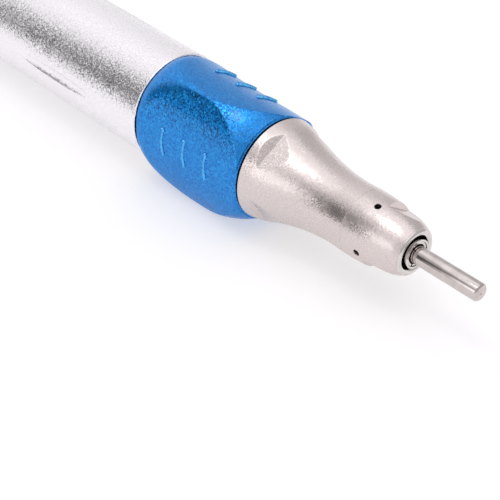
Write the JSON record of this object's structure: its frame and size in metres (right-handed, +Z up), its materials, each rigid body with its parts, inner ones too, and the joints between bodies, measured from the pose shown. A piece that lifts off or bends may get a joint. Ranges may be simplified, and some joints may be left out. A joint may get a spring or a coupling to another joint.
{
  "type": "straight dental handpiece",
  "caption": "Straight nose-cone dental handpiece: twist-lock chuck ring, rear motor socket, ball-bearing spindle and a plain test shank in the collet.",
  "frame": {"origin": "centre of the rear face, at the mouth of the motor socket", "axes": "+X along the spindle from the motor socket to the tip, +Z up"},
  "size_m": [0.1001, 0.0176, 0.0175],
  "materials": {
    "blasted_steel": "bead blasted, cool grey",
    "nose_steel": "satin blasted, warm grey",
    "polished_steel": "polished",
    "shank_steel": "ground and polished",
    "inner_steel": "turned",
    "dark_steel": "hardened",
    "ring_blue": "blue anodised with a fine metallic grain",
    "bronze": "turned bronze",
    "seal_rubber": "matt"
  },
  "bodies": {
    "housing": {"rear_sleeve": "blasted_steel", "motor_socket_liner": "inner_steel", "core_tube": "inner_steel", "nose_housing": "nose_steel", "nose_cap": "nose_steel", "tip_ring": "polished_steel", "front_bearing_outer_ring": "inner_steel", "middle_bearing_outer_ring": "inner_steel", "rear_bearing_outer_ring": "inner_steel", "outer_spacer": "inner_steel", "preload_washer": "dark_steel", "bearing_nut": "dark_steel", "front_o_ring": "seal_rubber", "rear_o_ring": "seal_rubber", "ring_clip": "dark_steel", "stop_ball": "dark_steel"},
    "twist_ring": {"chuck_ring": "ring_blue", "cam_sleeve": "bronze"},
    "shifter": {"shift_collar": "inner_steel", "cam_pins": "dark_steel"},
    "spindle": {"spindle_tube": "polished_steel", "drive_shaft": "inner_steel", "front_bearing_inner_ring": "inner_steel", "middle_bearing_inner_ring": "inner_steel", "rear_bearing_inner_ring": "inner_steel", "inner_spacer": "inner_steel", "spindle_nut": "dark_steel", "spindle_rear_nut": "dark_steel", "dust_slinger": "inner_steel", "dog_pin": "dark_steel", "dog_spring": "dark_steel", "chuck_spring": "dark_steel"},
    "dog": {"drive_dog": "dark_steel"},
    "chuck": {"collet": "polished_steel", "draw_tube": "inner_steel", "thrust_ring": "dark_steel", "thrust_pin": "dark_steel", "spring_seat": "dark_steel"},
    "shank": {"test_shank": "shank_steel"},
    "front_cage": {"front_bearing_balls": "dark_steel", "front_bearing_cage": "bronze"},
    "middle_cage": {"middle_bearing_balls": "dark_steel", "middle_bearing_cage": "bronze"},
    "rear_cage": {"rear_bearing_balls": "dark_steel", "rear_bearing_cage": "bronze"}
  },
  "joints": [
    {"name": "spindle_spin", "type": "hinge", "parent": "housing", "child": "spindle", "pos_m": [0.078, 0, 0], "axis": [1, 0, 0], "continuous": true},
    {"name": "ring_turn", "type": "hinge", "parent": "housing", "child": "twist_ring", "pos_m": [0.055, 0, 0], "axis": [1, 0, 0], "range_deg": [0, 60]},
    {"name": "shifter_slide", "type": "slide", "parent": "housing", "child": "shifter", "axis": [1, 0, 0], "range_m": [0, 0.0012]},
    {"name": "chuck_draw", "type": "slide", "parent": "spindle", "child": "chuck", "axis": [1, 0, 0], "range_m": [0, 0.0012], "deforming": ["chuck_spring"]},
    {"name": "shank_pull", "type": "slide", "parent": "chuck", "child": "shank", "axis": [1, 0, 0], "range_m": [0, 0.036]},
    {"name": "dog_float", "type": "slide", "parent": "spindle", "child": "dog", "axis": [1, 0, 0], "range_m": [0, 0.001], "stiffness_N_per_m": 400, "deforming": ["dog_spring"]},
    {"name": "front_cage_spin", "type": "hinge", "parent": "housing", "child": "front_cage", "pos_m": [0.07825, 0, 0], "axis": [1, 0, 0], "continuous": true},
    {"name": "middle_cage_spin", "type": "hinge", "parent": "housing", "child": "middle_cage", "pos_m": [0.07225, 0, 0], "axis": [1, 0, 0], "continuous": true},
    {"name": "rear_cage_spin", "type": "hinge", "parent": "housing", "child": "rear_cage", "pos_m": [0.0345, 0, 0], "axis": [1, 0, 0], "continuous": true}
  ],
  "couplings": [
    {"joint": "shifter_slide", "follows": "ring_turn", "m_per_rad": 0.0011459},
    {"joint": "chuck_draw", "follows": "ring_turn", "m_per_rad": 0.0011459},
    {"joint": "front_cage_spin", "follows": "spindle_spin", "ratio": 0.4273},
    {"joint": "middle_cage_spin", "follows": "spindle_spin", "ratio": 0.4273},
    {"joint": "rear_cage_spin", "follows": "spindle_spin", "ratio": 0.4143}
  ]
}
